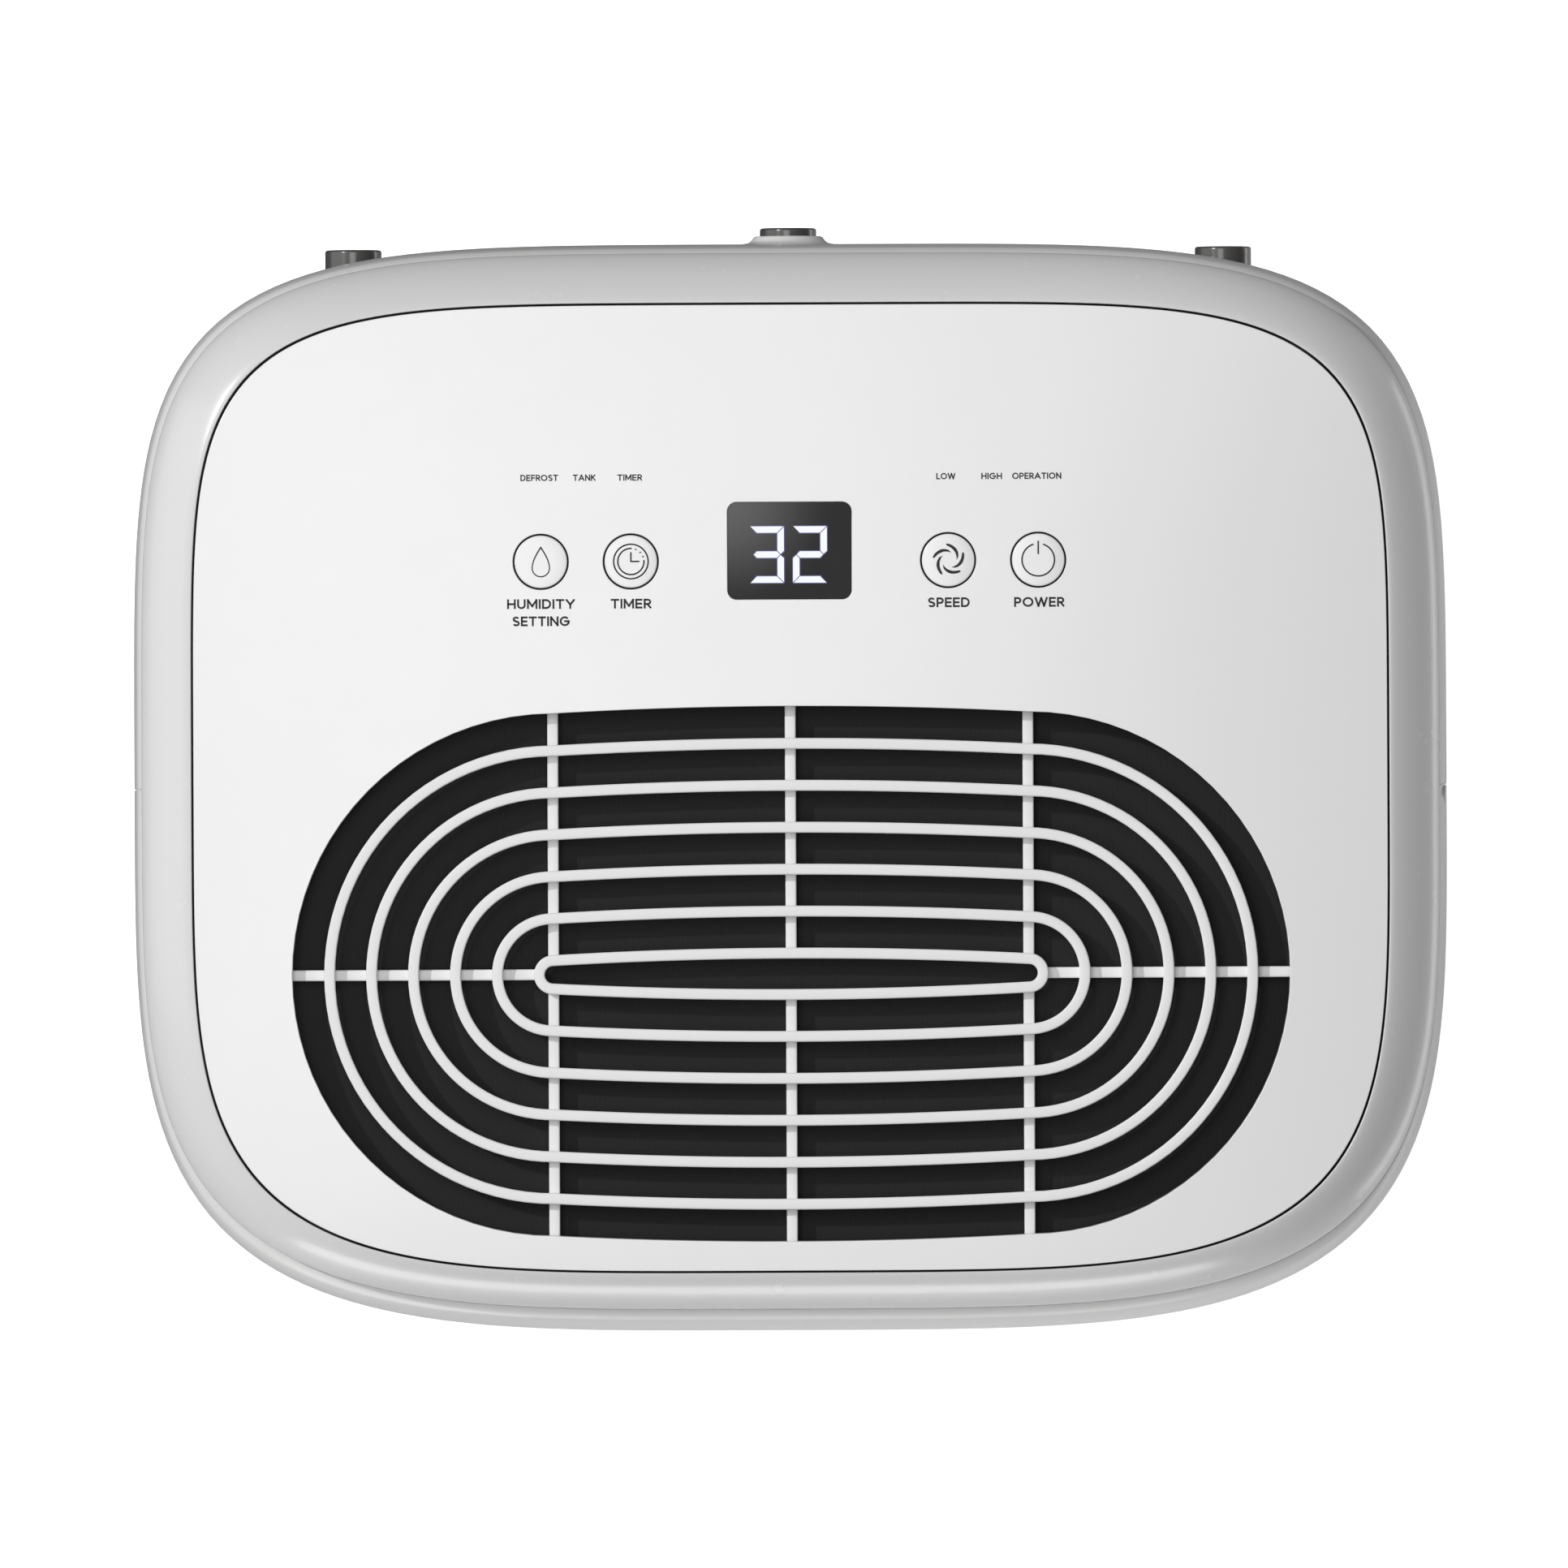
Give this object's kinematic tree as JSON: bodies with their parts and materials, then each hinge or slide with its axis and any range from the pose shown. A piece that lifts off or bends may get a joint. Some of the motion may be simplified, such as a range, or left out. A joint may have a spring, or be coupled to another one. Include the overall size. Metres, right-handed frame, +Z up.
{
  "type": "dehumidifier",
  "caption": "Free-standing compressor dehumidifier with an air outlet and keys on top, a water tank that slides out of the front, a hinged rear air intake and swivelling castors.",
  "frame": {"origin": "on the floor under the middle of the casing", "axes": "+Z up, +X to the right of a person who stands at the front and looks at the machine, +Y towards the wall behind it"},
  "size_m": [0.3252, 0.2734, 0.498],
  "materials": {
    "white_casing": "satin gloss moulded casing",
    "ring_white": "satin moulded trim",
    "dark_lens": "smoked window",
    "black_plastic": "matt moulded",
    "grey_plastic": "matt moulded",
    "tank_plastic": "translucent tank wall",
    "dark_rubber": "moulded rubber",
    "fin_aluminium": "bare fin stock",
    "copper": "drawn copper tube",
    "steel": "plated sheet and bar",
    "black_enamel": "black enamel",
    "circuit_board": "solder resist",
    "float_foam": "closed foam"
  },
  "bodies": {
    "casing": {"front_cover": "white_casing", "rear_cover": "white_casing", "top_panel": "white_casing", "outlet_grille": "white_casing", "top_ring": "ring_white", "side_grip_left": "ring_white", "side_grip_right": "ring_white", "display_window": "dark_lens", "display_module": "black_plastic", "fan_scroll": "black_plastic", "scroll_inlet": "black_plastic", "outlet_duct": "black_plastic", "float_switch": "black_plastic", "cable_gland": "black_plastic", "base_pan": "grey_plastic", "mid_deck": "grey_plastic", "drip_tray": "grey_plastic", "electronics_box": "grey_plastic", "run_capacitor": "grey_plastic", "drain_spigot": "grey_plastic", "wall_bumper_left": "dark_rubber", "wall_bumper_centre": "dark_rubber", "wall_bumper_right": "dark_rubber", "compressor_mount_1": "dark_rubber", "compressor_mount_2": "dark_rubber", "compressor_mount_3": "dark_rubber", "evaporator_fins": "fin_aluminium", "condenser_fins": "fin_aluminium", "evaporator_tube": "copper", "condenser_tube": "copper", "discharge_pipe": "copper", "suction_pipe": "copper", "liquid_line": "copper", "fan_motor": "steel", "frame_side_left": "steel", "frame_side_right": "steel", "compressor": "black_enamel", "suction_accumulator": "black_enamel", "control_board": "circuit_board"},
    "fan": {"fan_wheel": "grey_plastic", "fan_shaft": "steel"},
    "key_humidity": {"key_humidity": "white_casing"},
    "key_timer": {"key_timer": "white_casing"},
    "key_speed": {"key_speed": "white_casing"},
    "key_power": {"key_power": "white_casing"},
    "tank": {"tank_front": "white_casing", "water_tank": "tank_plastic", "tank_lid": "grey_plastic"},
    "float": {"tank_float": "float_foam"},
    "intake_door": {"intake_cover": "white_casing", "air_filter": "black_plastic"},
    "drain_cap": {"drain_cap": "dark_rubber"},
    "fork_front_left": {"castor_fork_front_left": "grey_plastic"},
    "wheel_front_left": {"castor_wheel_front_left": "dark_rubber"},
    "fork_rear_left": {"castor_fork_rear_left": "grey_plastic"},
    "wheel_rear_left": {"castor_wheel_rear_left": "dark_rubber"},
    "fork_front_right": {"castor_fork_front_right": "grey_plastic"},
    "wheel_front_right": {"castor_wheel_front_right": "dark_rubber"},
    "fork_rear_right": {"castor_fork_rear_right": "grey_plastic"},
    "wheel_rear_right": {"castor_wheel_rear_right": "dark_rubber"}
  },
  "joints": [
    {"name": "fan_spin", "type": "hinge", "parent": "casing", "child": "fan", "pos_m": [0, -0.05, 0.326], "axis": [0, 1, 0], "continuous": true},
    {"name": "key_humidity_press", "type": "slide", "parent": "casing", "child": "key_humidity", "axis": [0, 0, -1], "range_m": [0, 0.0007], "stiffness_N_per_m": 300, "springref_m": -0.001},
    {"name": "key_timer_press", "type": "slide", "parent": "casing", "child": "key_timer", "axis": [0, 0, -1], "range_m": [0, 0.0007], "stiffness_N_per_m": 300, "springref_m": -0.001},
    {"name": "key_speed_press", "type": "slide", "parent": "casing", "child": "key_speed", "axis": [0, 0, -1], "range_m": [0, 0.0007], "stiffness_N_per_m": 300, "springref_m": -0.001},
    {"name": "key_power_press", "type": "slide", "parent": "casing", "child": "key_power", "axis": [0, 0, -1], "range_m": [0, 0.0007], "stiffness_N_per_m": 300, "springref_m": -0.001},
    {"name": "tank_slide", "type": "slide", "parent": "casing", "child": "tank", "axis": [0, -1, 0], "range_m": [0, 0.16]},
    {"name": "float_swing", "type": "hinge", "parent": "tank", "child": "float", "pos_m": [0.078, -0.033, 0.156], "axis": [1, 0, 0], "range_deg": [-45, 0]},
    {"name": "intake_hinge", "type": "hinge", "parent": "casing", "child": "intake_door", "pos_m": [0, 0.1346, 0.2126], "axis": [-1, 0, 0], "range_deg": [0, 35]},
    {"name": "drain_cap_pull", "type": "slide", "parent": "casing", "child": "drain_cap", "axis": [0, 1, 0], "range_m": [0, 0.02]},
    {"name": "castor_swivel_front_left", "type": "hinge", "parent": "casing", "child": "fork_front_left", "pos_m": [-0.105, -0.082, 0.04], "axis": [0, 0, 1], "continuous": true},
    {"name": "castor_roll_front_left", "type": "hinge", "parent": "fork_front_left", "child": "wheel_front_left", "pos_m": [-0.105, -0.07, 0.016], "axis": [1, 0, 0], "continuous": true},
    {"name": "castor_swivel_rear_left", "type": "hinge", "parent": "casing", "child": "fork_rear_left", "pos_m": [-0.105, 0.082, 0.04], "axis": [0, 0, 1], "continuous": true},
    {"name": "castor_roll_rear_left", "type": "hinge", "parent": "fork_rear_left", "child": "wheel_rear_left", "pos_m": [-0.105, 0.094, 0.016], "axis": [1, 0, 0], "continuous": true},
    {"name": "castor_swivel_front_right", "type": "hinge", "parent": "casing", "child": "fork_front_right", "pos_m": [0.105, -0.082, 0.04], "axis": [0, 0, 1], "continuous": true},
    {"name": "castor_roll_front_right", "type": "hinge", "parent": "fork_front_right", "child": "wheel_front_right", "pos_m": [0.105, -0.07, 0.016], "axis": [1, 0, 0], "continuous": true},
    {"name": "castor_swivel_rear_right", "type": "hinge", "parent": "casing", "child": "fork_rear_right", "pos_m": [0.105, 0.082, 0.04], "axis": [0, 0, 1], "continuous": true},
    {"name": "castor_roll_rear_right", "type": "hinge", "parent": "fork_rear_right", "child": "wheel_rear_right", "pos_m": [0.105, 0.094, 0.016], "axis": [1, 0, 0], "continuous": true}
  ]
}
